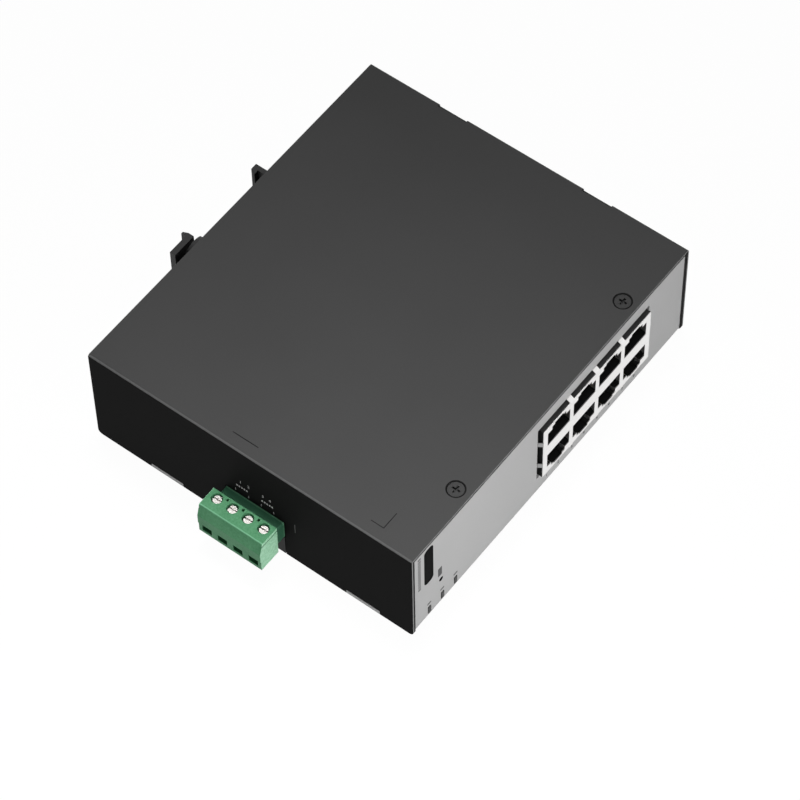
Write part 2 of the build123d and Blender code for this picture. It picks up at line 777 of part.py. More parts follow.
# Clamp of each pole: slotted screw and the cage that it draws up
shank_end = bar_top + tip_gap
for number, y in enumerate(pole_places, start=1):
    with BuildPart() as clamp_screw:
        with BuildSketch(Plane.XY.offset(clamp_head_low)):
            thread(clamp_shank, [(clamp_x, y)])
        extrude(amount=-(clamp_head_low - shank_end))
        with Locations((clamp_x, y, clamp_head_low)):
            Cylinder(clamp_head_radius, clamp_head_height, align=(Align.CENTER, Align.CENTER, Align.MIN))
        with Locations((clamp_x, y, clamp_head_low + clamp_head_height)):
            Box(clamp_slot, 2 * clamp_recess, clamp_head_height, mode=Mode.SUBTRACT)
    clamp_screw.part.label = f"clamp_screw_{number}"
    export_step(clamp_screw.part, f"parts/clamp_screw_{number}.step")

    with BuildPart() as clamp_cage:
        with BuildSketch(Plane.YZ.offset(clamp_x)):
            with Locations((y, (cage_low + cage_top) / 2)):
                Rectangle(cage_width, cage_height)
                Rectangle(cage_width - 2 * cage_wall, cage_window, mode=Mode.SUBTRACT)
        extrude(amount=cage_length / 2, both=True)
        with BuildSketch(Plane.XY.offset(cage_top)):
            thread(clamp_hole, [(clamp_x, y)])
        extrude(amount=-cage_plate, mode=Mode.SUBTRACT)
    clamp_cage.part.label = f"clamp_cage_{number}"
    export_step(clamp_cage.part, f"parts/clamp_cage_{number}.step")

# Rail clip: moulded base with a fixed hook, a channel for the latch's tongue and an eye
base_high = clip_z + clip_base_width / 2
rail_left = rail_x - rail_width / 2
rail_right = rail_x + rail_width / 2
leg_inner = rail_right + rail_play
base_right = leg_inner + fixed_leg
lip_low = clip_face + rail_groove
lip_high = lip_low + lip_thick
channel_top = rear_face + 2 * tongue_gap + tongue_thick
channel_right = tongue_right + spring_length
web_slot_left = latch_left - latch_travel - tongue_gap
web_slot_right = latch_left + latch_web_length + tongue_gap
base_middle = (clip_base_left + base_right) / 2
with BuildPart() as din_base:
    with BuildSketch(Plane.XZ.offset(-rear_face)):
        with Locations((base_middle, clip_z)):
            Rectangle(base_right - clip_base_left, clip_base_width)
        chamfer(vertices(), clip_corner)
    extrude(amount=-(clip_face - rear_face))
    with BuildSketch(Plane.XY.offset(clip_z)):
        with BuildLine():
            Polyline(
                (leg_inner, rear_face),
                (leg_inner, lip_low),
                (rail_right - fixed_engage, lip_low),
                (rail_right - fixed_engage, lip_low + lip_thick / 2),
                (rail_right - fixed_engage + lip_thick / 2, lip_high),
                (base_right, lip_high),
                (base_right, rear_face),
                close=True,
            )
        make_face()
    extrude(amount=clip_hook_width / 2, both=True)
    with BuildSketch(Plane.XZ.offset(-(clip_face - eye_thick))):
        with Locations((eye_x, base_high)):
            Rectangle(eye_width, 2 * (eye_top - base_high - eye_width / 4))
        with Locations((eye_x, eye_top - eye_width / 4)):
            Ellipse(eye_width / 2, eye_width / 4)
    extrude(amount=-eye_thick)
    with BuildSketch(Plane.XZ.offset(-(clip_face - eye_thick))):
        with Locations((eye_x, eye_top - eye_width / 4)):
            Ellipse(eye_width / 2 - eye_wall, eye_width / 4 - eye_wall / 2)
    extrude(amount=-eye_thick, mode=Mode.SUBTRACT)
    with BuildSketch(Plane.XZ.offset(-rear_face)):
        with Locations((channel_right, clip_z)):
            Rectangle(
                channel_right - clip_base_left,
                tongue_width + 2 * tongue_gap,
                align=(Align.MAX, Align.CENTER),
            )
    extrude(amount=-(channel_top - rear_face), mode=Mode.SUBTRACT)
    with BuildSketch(Plane.XZ.offset(-rear_face)):
        with Locations(((web_slot_left + web_slot_right) / 2, clip_z)):
            Rectangle(web_slot_right - web_slot_left, latch_web_width + 2 * tongue_gap)
    extrude(amount=-(clip_face - rear_face), mode=Mode.SUBTRACT)
    with BuildSketch(Plane.XZ.offset(-clip_face)):
        with Locations([(x, clip_z) for x in clip_screw_places]):
            Circle(clip_screw_head + tongue_gap)
    extrude(amount=clip_screw_sink, mode=Mode.SUBTRACT)
    with BuildSketch(Plane.XZ.offset(-rear_face)):
        thread(clip_screw_radius + screw_gap, [(x, clip_z) for x in clip_screw_places])
    extrude(amount=-(clip_face - rear_face), mode=Mode.SUBTRACT)
din_base.part.label = "din_base"
export_step(din_base.part, "parts/din_base.step")

# Latch: sliding tongue, a web through the base's face and the hook over the rail
latch_tip = rail_left + latch_engage
tongue_low = rear_face + tongue_gap
tongue_high = tongue_low + tongue_thick
slot_long, slot_wide = tongue_slot
with BuildPart() as din_latch:
    with BuildSketch(Plane.XZ.offset(-tongue_low)):
        with Locations(((tongue_left + tongue_right) / 2, clip_z)):
            Rectangle(tongue_right - tongue_left, tongue_width)
        chamfer(vertices(), tongue_corner)
        with Locations((tongue_left + slot_long, clip_z)):
            Rectangle(slot_long, slot_wide, mode=Mode.SUBTRACT)
    extrude(amount=-tongue_thick)
    with BuildSketch(Plane.XZ.offset(-tongue_high)):
        with Locations((latch_left + latch_web_length / 2, clip_z)):
            Rectangle(latch_web_length, latch_web_width)
    extrude(amount=-(lip_low - tongue_high))
    with BuildSketch(Plane.XY.offset(clip_z)):
        with BuildLine():
            Polyline(
                (latch_left, lip_low),
                (latch_left, lip_high),
                (latch_tip - latch_nub_length, lip_high),
                (latch_tip - latch_nub_length, lip_high + latch_nub),
                (latch_tip - latch_nub_length / 2, lip_high + latch_nub),
                (latch_tip, lip_high),
                (latch_tip, lip_low),
                close=True,
            )
        make_face()
    extrude(amount=clip_hook_width / 2, both=True)
din_latch.part.label = "din_latch"
export_step(din_latch.part, "parts/din_latch.step")

# Return spring of the latch, a folded strip that the tongue stretches along the channel
spring_low = (rear_face + channel_top - spring_width) / 2
spring_span = spring_length - 2 * (spring_gap + spring_strip)
bend_places = []
for i, x in enumerate(row(spring_bars, spring_span / (spring_bars - 1), tongue_right + spring_length / 2)):
    reach = spring_reach if i % 2 else -spring_reach
    bend_places += [(x, clip_z + reach), (x, clip_z - reach)]
with BuildPart() as din_spring:
    with BuildSketch(Plane.XZ.offset(-spring_low)):
        with BuildLine():
            folds = Polyline(*bend_places)
            offset(folds, amount=spring_strip, kind=Kind.INTERSECTION, side=Side.LEFT)
        make_face()
    extrude(amount=-spring_width)
din_spring.part.label = "din_spring"
export_step(din_spring.part, "parts/din_spring.step")

# Screws that hold the rail clip and the nuts clinched inside the rear panel
head_seat = clip_face - clip_screw_sink
rear_inside = rear_face - chassis_sheet
with BuildPart() as din_screws:
    with BuildSketch(Plane.XZ.offset(-head_seat)):
        with Locations([(x, clip_z) for x in clip_screw_places]):
            Circle(clip_screw_head)
    extrude(amount=-clip_screw_head_height)
    with BuildSketch(Plane.XZ.offset(-head_seat)):
        thread(clip_screw_radius, [(x, clip_z) for x in clip_screw_places])
    extrude(amount=clip_screw_length)
    with Locations([(x, head_seat + clip_screw_head_height, clip_z) for x in clip_screw_places]):
        Box(recess_wide, 2 * recess_deep, recess_long, mode=Mode.SUBTRACT)
        Box(recess_long, 2 * recess_deep, recess_wide, mode=Mode.SUBTRACT)
din_screws.part.label = "din_screws"
export_step(din_screws.part, "parts/din_screws.step")

with BuildPart() as clip_nuts:
    with BuildSketch(Plane.XZ.offset(-rear_inside)):
        with Locations([(x, clip_z) for x in clip_screw_places]):
            RegularPolygon(nut_width / 2, 6, major_radius=False)
        thread(clip_screw_radius + screw_gap, [(x, clip_z) for x in clip_screw_places], Mode.SUBTRACT)
    extrude(amount=clip_nut_height)
clip_nuts.part.label = "clip_nuts"
export_step(clip_nuts.part, "parts/clip_nuts.step")


def on_board(place, size, corner=0.0, level=board_top):
    """Part that stands on the board at place, with its upright edges rounded by corner."""
    with BuildPart() as block:
        with BuildSketch(Plane.XY.offset(level)):
            with Locations(place):
                Rectangle(size[0], size[1])
            if corner > 0:
                fillet(vertices(), corner)
        extrude(amount=size[2])
    return block.part


# Switching chip, its thermal pad and the finned heat sink on top
pad_level = board_top + chip_height
sink_level = pad_level + pad_height
switch_chip = on_board(chip_place, (chip_width, chip_width, chip_height))
switch_chip.label = "switch_chip"
export_step(switch_chip, "parts/switch_chip.step")
thermal_pad = on_board(chip_place, (chip_width, chip_width, pad_height), level=pad_level)
thermal_pad.label = "thermal_pad"
export_step(thermal_pad, "parts/thermal_pad.step")

fin_pitch = (sink_width - fin_thick) / (fin_count - 1)
with BuildPart() as heat_sink:
    with BuildSketch(Plane.XZ.offset(-chip_place[1])):
        with Locations((chip_place[0], sink_level + sink_base / 2)):
            Rectangle(sink_width, sink_base)
        fin_places = row(fin_count, fin_pitch, chip_place[0])
        with Locations([(x, sink_level + sink_height / 2) for x in fin_places]):
            Rectangle(fin_thick, sink_height)
    extrude(amount=sink_width / 2, both=True)
heat_sink.part.label = "heat_sink"
export_step(heat_sink.part, "parts/heat_sink.step")

# Line transformers, one behind each column of ports
transformer_y = (transformer_front + transformer_back) / 2
with BuildPart() as lan_transformers:
    with Locations([(x, transformer_y, board_top + transformer_height / 2) for x in port_places]):
        Box(transformer_width, transformer_depth, transformer_height)
    chamfer(edges().filter_by(Axis.Y).group_by(Axis.Z)[-1], transformer_chamfer)
lan_transformers.part.label = "lan_transformers"
export_step(lan_transformers.part, "parts/lan_transformers.step")

# Power input: fuse, choke, smoothing capacitors and regulator
fuse = on_board(fuse_place, fuse_size)
fuse.label = "fuse"
export_step(fuse, "parts/fuse.step")
inductor_size = (inductor_width, inductor_width, inductor_height)
power_inductor = on_board(inductor_place, inductor_size, inductor_corner)
power_inductor.label = "power_inductor"
export_step(power_inductor, "parts/power_inductor.step")
regulator = on_board(regulator_place, regulator_size)
regulator.label = "regulator"
export_step(regulator, "parts/regulator.step")
crystal = on_board(crystal_place, crystal_size, crystal_corner)
crystal.label = "crystal"
export_step(crystal, "parts/crystal.step")

with BuildPart() as capacitors:
    with Locations([(x, y, board_top) for x, y in capacitor_places]):
        Cylinder(capacitor_radius, capacitor_height, align=(Align.CENTER, Align.CENTER, Align.MIN))
    chamfer(edges().group_by(Axis.Z)[-1], capacitor_rim)
capacitors.part.label = "capacitors"
export_step(capacitors.part, "parts/capacitors.step")

part_long, part_wide, part_high = chip_part_size
part_pitch_x, part_pitch_y = chip_part_pitch
with BuildPart() as small_parts:
    with Locations((*chip_part_place, board_top + part_high / 2)):
        with GridLocations(part_pitch_x, part_pitch_y, 4, 5):
            Box(part_long, part_wide, part_high)
small_parts.part.label = "small_parts"
export_step(small_parts.part, "parts/small_parts.step")
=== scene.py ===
import math

import bpy
import numpy as np
from mathutils import Matrix, Vector


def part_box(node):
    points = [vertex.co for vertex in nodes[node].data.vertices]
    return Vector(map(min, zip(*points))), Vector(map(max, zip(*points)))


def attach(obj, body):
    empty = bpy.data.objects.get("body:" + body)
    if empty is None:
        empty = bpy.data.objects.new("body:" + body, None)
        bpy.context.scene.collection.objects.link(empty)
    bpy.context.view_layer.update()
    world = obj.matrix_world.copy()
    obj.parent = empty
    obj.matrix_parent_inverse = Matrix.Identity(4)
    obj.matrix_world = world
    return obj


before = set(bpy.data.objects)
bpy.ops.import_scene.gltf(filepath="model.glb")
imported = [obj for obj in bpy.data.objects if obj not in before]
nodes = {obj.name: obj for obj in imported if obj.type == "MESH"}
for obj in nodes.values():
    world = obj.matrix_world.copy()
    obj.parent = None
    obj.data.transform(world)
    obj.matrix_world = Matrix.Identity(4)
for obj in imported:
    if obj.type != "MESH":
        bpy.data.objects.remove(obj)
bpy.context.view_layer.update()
MM = 0.001

# Cover
# One sheet of 1.2 mm steel, folded down at both ends and powder coated in a
# dense charcoal with a fine grain. A pale line on the folds is a painted
# highlight, the two end walls are painted nearly black as painted shade, and
# a dark rim runs round each screw. The front edge face is pale on its outer
# half and painted dark on its inner part as painted shadow of the gap.


class Wire:
    """One output of a shader node. Python sums and products of wires add Math nodes."""

    def __init__(self, finish, socket):
        self.finish = finish
        self.socket = socket

    def math(self, operation, *values):
        return self.finish.node("ShaderNodeMath", {"operation": operation}, dict(enumerate(values)))

    def __add__(self, other):
        return self.math("ADD", self, other)

    def __sub__(self, other):
        return self.math("SUBTRACT", self, other)

    def __rsub__(self, other):
        return self.math("SUBTRACT", other, self)

    def __mul__(self, other):
        return self.math("MULTIPLY", self, other)

    def __abs__(self):
        return self.math("ABSOLUTE", self)

    def __gt__(self, other):
        return self.math("GREATER_THAN", self, other)

    def __lt__(self, other):
        return self.math("LESS_THAN", self, other)

    def clipped(self):
        return self.math("MINIMUM", self.math("MAXIMUM", self, 0.0), 1.0)

    __radd__ = __add__
    __rmul__ = __mul__


class Finish:
    """One material with a Principled shader. Its sockets are set by name, with values or wires."""

    def __init__(self, name, **sockets):
        self.material = bpy.data.materials.new(name)
        self.material.use_nodes = True
        self.tree = self.material.node_tree
        self.shader = self.tree.nodes["Principled BSDF"]
        self.position = self.node("ShaderNodeTexCoord", output="Object")
        self.set(**sockets)

    def put(self, target, value):
        """Links a wire to a node's input, or writes a value there."""
        if isinstance(value, Wire):
            self.tree.links.new(value.socket, target)
        else:
            target.default_value = value

    def node(self, kind, settings=None, inputs=None, output=0):
        """Adds a node: its settings first, then its inputs; gives the wire of one output."""
        made = self.tree.nodes.new(kind)
        for name, value in (settings or {}).items():
            setattr(made, name, value)
        for name, value in (inputs or {}).items():
            self.put(made.inputs[name], value)
        return Wire(self, made.outputs[output])

    def set(self, **sockets):
        """Sets the shader's own sockets, written with underscores for spaces."""
        for name, value in sockets.items():
            self.put(self.shader.inputs[name.replace("_", " ")], value)

    def noise(self, size, detail=2.0, roughness=0.5, stretch=(1.0, 1.0, 1.0)):
        """Noise whose lumps are about size metres across, stretched along the axes."""
        place = self.node(
            "ShaderNodeVectorMath", {"operation": "DIVIDE"}, {0: self.position, 1: stretch}
        )
        return self.node(
            "ShaderNodeTexNoise",
            None,
            {"Vector": place, "Scale": 1.0 / size, "Detail": detail, "Roughness": roughness},
        )

    def blend(self, share, low, high):
        """A colour between low and high, by share."""
        return self.node(
            "ShaderNodeMix", {"data_type": "RGBA"}, {"Factor": share, 6: low, 7: high}, output=2
        )

    def bump(self, height, strength, distance):
        """A normal that is raised where height is high, by up to distance metres."""
        return self.node(
            "ShaderNodeBump", None, {"Height": height, "Strength": strength, "Distance": distance}
        )

    def distance(self, first, second):
        """The length of a flat step whose two parts are wires."""
        squares = first * first + second * second
        return squares.math("SQRT", squares)

    def along(self, axis):
        """The object coordinate on one axis, in metres."""
        return self.node("ShaderNodeSeparateXYZ", None, {0: self.position}, output=axis)


def grey(level, warm=0.0):
    """A grey of that linear level, a little warmer or cooler."""
    return (level * (1 + warm), level, level * (1 - warm), 1.0)


def dress(finish, *names):
    """Gives CAD nodes a finish in place of the one they came with."""
    for name in names:
        slots = nodes[name].data.materials
        slots.clear()
        slots.append(finish.material)


charcoal = grey(0.051)
charcoal_high = grey(0.066)
wall_shade_and_rim_dark = grey(0.0095)
fold_highlight = grey(0.11)
cut_light = grey(0.27)
gap_shadow_dark = grey(0.015)
fold_width, outer_half, shaded_wall_skin, cut_skin = 0.6 * MM, 0.5 * MM, 0.2 * MM, 0.05 * MM
screw_inset, screw_row = 29.5 * MM, -59.2 * MM
ring_inner, ring_outer = 2.75 * MM, 3.3 * MM
cover_low, cover_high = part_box("cover")
cover_coat = Finish("charcoal_powder_coat", Specular_IOR_Level=0.01)
grain = cover_coat.noise(0.00042, 3.0, 0.6)
drift = cover_coat.noise(0.045, 2.0, 0.5)
across = cover_coat.along(0)
from_side = cover_high.x - abs(across)
from_top = cover_high.z - cover_coat.along(2)
on_fold_highlight = (from_side < fold_width) * (from_top < fold_width)
on_cut = cover_coat.along(1) < cover_low.y + cut_skin
outer_skin = from_side.math("MINIMUM", from_side, from_top) < outer_half
coat = cover_coat.blend((grain * 0.5 + drift * 0.5).clipped(), charcoal, charcoal_high)
# The outer skin of the two end walls is painted nearly black: painted shade.
coat = cover_coat.blend(from_side < shaded_wall_skin, coat, wall_shade_and_rim_dark)
from_screw = cover_coat.distance(from_side - screw_inset, cover_coat.along(1) - screw_row)
in_ring = (from_screw > ring_inner) * (from_screw < ring_outer)
coat = cover_coat.blend(in_ring, coat, wall_shade_and_rim_dark)
# A pale line along the folds: painted highlight.
coat = cover_coat.blend(on_fold_highlight, coat, fold_highlight)
# The front edge face is pale on its outer half and painted dark on its inner part: painted shadow of the
# gap.
cut = cover_coat.blend(outer_skin, gap_shadow_dark, cut_light)
cover_coat.set(
    Base_Color=cover_coat.blend(on_cut, coat, cut),
    Roughness=0.52 + grain * 0.16,
    Normal=cover_coat.bump(grain, 0.35, 0.00004),
)
dress(cover_coat, "cover")

# Chassis
# The bottom, the port panel and the rear panel are one sheet of 1.6 mm steel,
# folded and coated in pale grey, smoother than the cover. Its tabs fill the
# cover's notches. The walls of its small holes and the terminal's ear are
# painted near black as painted shade.
pale = grey(0.465)
pale_high = grey(0.54)
hole_and_ear_shade = grey(0.006)
panel_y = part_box("chassis")[0].y
panel_sheet, face_skin = 1.6 * MM, 0.03 * MM
lights_left, lights_right, lights_foot, lights_head = -70 * MM, -48 * MM, 2.2 * MM, 18 * MM
ear_front, ear_back, ear_foot, ear_head = -22 * MM, 18 * MM, 0.2 * MM, 12 * MM
panel_coat = Finish("pale_powder_coat", Specular_IOR_Level=0.08)
orange_peel = panel_coat.noise(0.0009, 2.0, 0.5)
cloud = panel_coat.noise(0.03, 2.0, 0.5)
along_x, along_y, along_z = panel_coat.along(0), panel_coat.along(1), panel_coat.along(2)
in_sheet = (along_y > panel_y + face_skin) * (along_y < panel_y + panel_sheet - face_skin)
by_lights = (along_x > lights_left) * (along_x < lights_right)
hole_wall = in_sheet * by_lights * (along_z > lights_foot) * (along_z < lights_head)
by_terminal = (along_x < lights_left) * (along_y > ear_front) * (along_y < ear_back)
ear = by_terminal * (along_z > ear_foot) * (along_z < ear_head)
even_coat = panel_coat.blend((cloud * 0.7 + orange_peel * 0.3).clipped(), pale, pale_high)
panel_coat.set(
    # The walls of the light holes and the ear behind the terminal are painted near black: painted shade.
    Base_Color=panel_coat.blend((hole_wall + ear).clipped(), even_coat, hole_and_ear_shade),
    Roughness=0.38 + orange_peel * 0.14,
    Normal=panel_coat.bump(orange_peel, 0.25, 0.00005),
)
dress(panel_coat, "chassis")

# Cover screws
# Two countersunk M3 screws with a cross recess, black oxide on steel, driven
# flush into the dimples of the cover. The turned heads keep fine rings.
black_steel = Finish("black_oxide_steel", Specular_IOR_Level=0.2)
turning = black_steel.noise(0.00025, 2.0, 0.5, stretch=(1.0, 1.0, 8.0))
black_steel.set(
    Base_Color=black_steel.blend(turning, grey(0.012), grey(0.03)),
    Roughness=0.4 + turning * 0.25,
    Normal=black_steel.bump(turning, 0.2, 0.00003),
)
dress(black_steel, "cover_screws")

# Zinc-plated fasteners
# Nuts, screws, the clip's spring and the clamp cages are plain steel with a
# bright zinc plate, slightly cloudy, as small hardware is when it is new.
zinc = Finish("zinc_plate", Metallic=1.0)
haze = zinc.noise(0.0012, 3.0, 0.6)
zinc.set(
    Base_Color=zinc.blend(haze, grey(0.5, 0.01), grey(0.72, 0.02)),
    Roughness=0.25 + haze * 0.2,
    Normal=zinc.bump(haze, 0.15, 0.00003),
)
dress(zinc, "cover_nuts", "board_screws", "din_screws", "clip_nuts", "din_spring", "crystal")
dress(zinc, *[f"clamp_cage_{n}" for n in range(1, 5)])

# Standoffs
# Four turned brass pillars carry the board above the bottom of the chassis.
# They are bare, with a slight tarnish from handling.
brass_dark, brass_light = (0.55, 0.40, 0.18, 1), (0.70, 0.55, 0.30, 1)
standoff_brass = Finish("turned_brass", Metallic=1.0)
tarnish = standoff_brass.noise(0.0015)
standoff_brass.set(
    Base_Color=standoff_brass.blend(tarnish, brass_dark, brass_light),
    Roughness=0.24 + tarnish * 0.15,
)
dress(standoff_brass, "board_standoffs")

# Circuit board
# Glass laminate under a green solder mask. Copper shows faintly through the
# mask as paler bands that run along and across the board.
over_laminate, over_copper = (0.01, 0.07, 0.03, 1), (0.03, 0.16, 0.07, 1)
mask = Finish("green_solder_mask", Roughness=0.3, Coat_Weight=0.3)
weave = mask.noise(0.0006, 2.0, 0.5)
runs = mask.noise(0.004, 1.0, 0.3, stretch=(6.0, 0.6, 1.0))
copper = (runs * 1.6 - 0.4 + weave * 0.2).clipped()
mask.set(
    Base_Color=mask.blend(copper, over_laminate, over_copper),
    Normal=mask.bump(weave, 0.2, 0.00003),
)
dress(mask, "circuit_board")

# Port block
# The housing of the eight sockets is moulded in black glass-filled plastic. It
# stands in a folded shield of tinned sheet, bright in front, whose fingers press
# on the edge of the panel's opening. Behind the front the shield's walls are
# painted dark and not metallic as painted shade of the gaps round the block,
# nearly black on the outer side faces, and the fingers are painted a darker
# grey as painted shade.
black_moulding = Finish("black_moulding", Specular_IOR_Level=0.15)
spark = black_moulding.noise(0.0003, 2.0, 0.5)
black_moulding.set(
    Base_Color=black_moulding.blend(spark, grey(0.0035), grey(0.006)),
    Roughness=0.42 + spark * 0.2,
    Normal=black_moulding.bump(spark, 0.25, 0.00003),
)
dress(black_moulding, "jack_housing", "reset_switch", "reset_button")

tin = Finish("tinned_sheet", Metallic=1.0)
rolled = tin.noise(0.0005, 3.0, 0.6, stretch=(12.0, 1.0, 1.0))
stain = tin.noise(0.006, 2.0, 0.5)
tin.set(
    Base_Color=tin.blend((rolled * 0.6 + stain * 0.4).clipped(), grey(0.62, 0.01), grey(0.86, 0.02)),
    Roughness=0.2 + rolled * 0.22,
    Normal=tin.bump(rolled, 0.1, 0.00002),
)
dress(tin, "header_pins", "plug_contacts")

block_x, block_z, block_wide, block_high = 22.5 * MM, 22.55 * MM, 58.6 * MM, 25.5 * MM
block_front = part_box("jack_shield")[0].y
shield_sheet, shield_skin, front_bend, finger_lift = 0.4 * MM, 0.02 * MM, 0.35 * MM, 0.03 * MM
side_skin = 0.05 * MM
shield_tin = Finish("shield_tin", Specular_IOR_Level=0.1)
brushed = shield_tin.noise(0.0005, 3.0, 0.6, stretch=(12.0, 1.0, 1.0))
cloudy = shield_tin.noise(0.006, 2.0, 0.5)
sideways = shield_tin.along(0) - block_x
upwards = shield_tin.along(2) - block_z
past_side = abs(sideways) - block_wide / 2
past_roof = abs(upwards) - block_high / 2
past_wall = past_side.math("MAXIMUM", past_side, past_roof)
on_shell = (past_wall > -shield_sheet) * (past_wall < shield_skin)
# Behind the front bend the shield's walls are painted dark and not metallic: painted shade of the gaps
# round the block.
shade_behind_front = on_shell * (shield_tin.along(1) > block_front + front_bend)
bright_tin = shield_tin.blend((brushed * 0.6 + cloudy * 0.4).clipped(), grey(0.68, 0.01), grey(0.9, 0.01))
# Nearly black on the outer side faces and dark grey elsewhere: painted shade.
shield_shade_tin = shield_tin.blend(past_side > -side_skin, grey(0.05), grey(0.004))
# The fingers are painted a darker grey than the front: painted shade.
bright_tin = shield_tin.blend(past_side > finger_lift, bright_tin, grey(0.3))
shield_tin.set(
    Base_Color=shield_tin.blend(shade_behind_front, bright_tin, shield_shade_tin),
    Metallic=1.0 - shade_behind_front,
    Roughness=0.2 + brushed * 0.22 + shade_behind_front * 0.3,
    Normal=shield_tin.bump(brushed, 0.1, 0.00002),
)
dress(shield_tin, "jack_shield")

# Port contacts
# Phosphor bronze wires, eight folded into each socket, with a gold flash
# where a plug touches them.
gold_dark, gold_light = (0.62, 0.40, 0.14, 1), (0.85, 0.62, 0.26, 1)
gold = Finish("gold_flash", Metallic=1.0)
drawn = gold.noise(0.0004, 2.0, 0.5, stretch=(1.0, 10.0, 1.0))
gold.set(
    Base_Color=gold.blend(drawn, gold_dark, gold_light),
    Roughness=0.2 + drawn * 0.15,
)
dress(gold, "jack_contacts")

# Status lights
# Smoked polycarbonate pipes lead the light of three pale lamps to slots in
# the panel. They are unlit, so their ends look dark grey.
smoked = Finish("smoked_polycarbonate", Transmission_Weight=0.2, Specular_IOR_Level=0.1)
mist = smoked.noise(0.0011)
smoked.set(
    Base_Color=smoked.blend(mist, grey(0.012), grey(0.035)),
    Roughness=0.3 + mist * 0.15,
)
dress(smoked, "led_lenses")
lamp_body = Finish("lamp_body", Roughness=0.4)
lamp_body.set(Base_Color=lamp_body.blend(lamp_body.noise(0.0008), grey(0.55, 0.04), grey(0.68, 0.05)))
dress(lamp_body, "status_leds", "fuse")

# Parts on the board
# Moulded resin bodies, a drawn-aluminium heat sink on a soft pad, and the
# aluminium cans of the capacitors. None of them shows in the closed switch.
resin = Finish("moulded_resin", Roughness=0.55)
flecks = resin.noise(0.0004)
resin.set(
    Base_Color=resin.blend(flecks, grey(0.016), grey(0.03)),
    Normal=resin.bump(flecks, 0.25, 0.00003),
)
dress(resin, "switch_chip", "lan_transformers", "power_inductor", "regulator", "small_parts")
drawn_aluminium = Finish("drawn_aluminium", Metallic=1.0)
streaks = drawn_aluminium.noise(0.0005, 3.0, 0.6, stretch=(1.0, 14.0, 1.0))
drawn_aluminium.set(
    Base_Color=drawn_aluminium.blend(streaks, grey(0.55), grey(0.72)),
    Roughness=0.3 + streaks * 0.2,
)
dress(drawn_aluminium, "heat_sink", "capacitors")
pad_dark, pad_light = (0.28, 0.32, 0.38, 1), (0.36, 0.4, 0.46, 1)
pad_finish = Finish("thermal_pad", Roughness=0.7)
speckle = pad_finish.noise(0.0007)
pad_finish.set(Base_Color=pad_finish.blend(speckle, pad_dark, pad_light))
dress(pad_finish, "thermal_pad")

# Power terminal
# The header on the board is painted a darker green than the plug outside the
# wall. Both are glass-filled nylon with a satin skin. The header's rim and the
# plug's ridge and ends are painted pale as painted highlight, and the plug is
# painted dark in its wire entries and underneath as painted shade.
header_rim, ridge_drop, ridge_reach, end_skin = 0.35 * MM, 0.22 * MM, 1.75 * MM, 0.05 * MM
entry_depth, entry_top = 0.5 * MM, 12.5 * MM
header_dark, header_light = (0.024, 0.105, 0.055, 1), (0.045, 0.155, 0.085, 1)
header_rim_highlight = (0.09, 0.24, 0.14, 1)
header_green = Finish("header_green", Roughness=0.45, Specular_IOR_Level=0.2)
fibres = header_green.noise(0.0005, 3.0, 0.6)
on_rim_highlight = header_green.along(0) > cover_low.x - header_rim
header_skin = header_green.blend(fibres, header_dark, header_light)
header_green.set(
    # The rim at the wall is painted pale: painted highlight.
    Base_Color=header_green.blend(on_rim_highlight, header_skin, header_rim_highlight),
    Normal=header_green.bump(fibres, 0.2, 0.00003),
)
dress(header_green, "terminal_header")
plug_dark, plug_light = (0.048, 0.190, 0.086, 1), (0.110, 0.310, 0.160, 1)
ridge_highlight, entry_shade = (0.15, 0.38, 0.22, 1), (0.014, 0.075, 0.028, 1)
end_highlight_low, end_highlight_high = (0.28, 0.64, 0.38, 1), (0.52, 0.86, 0.62, 1)
plug_green = Finish("plug_green", Specular_IOR_Level=0.1)
swirl = plug_green.noise(0.0007, 3.0, 0.6)
flow = plug_green.noise(0.006, 2.0, 0.5)
plug_low, plug_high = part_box("plug_body")
off_middle = plug_green.along(1) - (plug_low.y + plug_high.y) / 2
from_end = (plug_high.y - plug_low.y) / 2 - abs(off_middle)
mottle = (swirl * 1.4 + flow * 0.8 - 0.6).clipped()
plug_skin = plug_green.blend(mottle, plug_dark, plug_light)
outwards, height = plug_green.along(0), plug_green.along(2)
# The top band at the plug's outer end is painted paler: painted highlight.
ridge = (height > plug_high.z - ridge_drop) * (outwards < plug_low.x + ridge_reach)
plug_skin = plug_green.blend(ridge, plug_skin, ridge_highlight)
# Below 12.5 mm and more than 0.5 mm behind its outer face the plug is painted dark: painted shade in the
# wire entries and underneath.
in_entry = (outwards > plug_low.x + entry_depth) * (height < entry_top)
plug_skin = plug_green.blend(in_entry, plug_skin, entry_shade)
# The plug's two ends are painted pale green: painted highlight.
plug_end_highlight = plug_green.blend((swirl * 2.4 - 0.7).clipped(), end_highlight_low, end_highlight_high)
plug_green.set(
    Base_Color=plug_green.blend(from_end < end_skin, plug_skin, plug_end_highlight),
    Roughness=0.36 + swirl * 0.16,
    Normal=plug_green.bump(swirl, 0.3, 0.00004),
)
dress(plug_green, "plug_body")

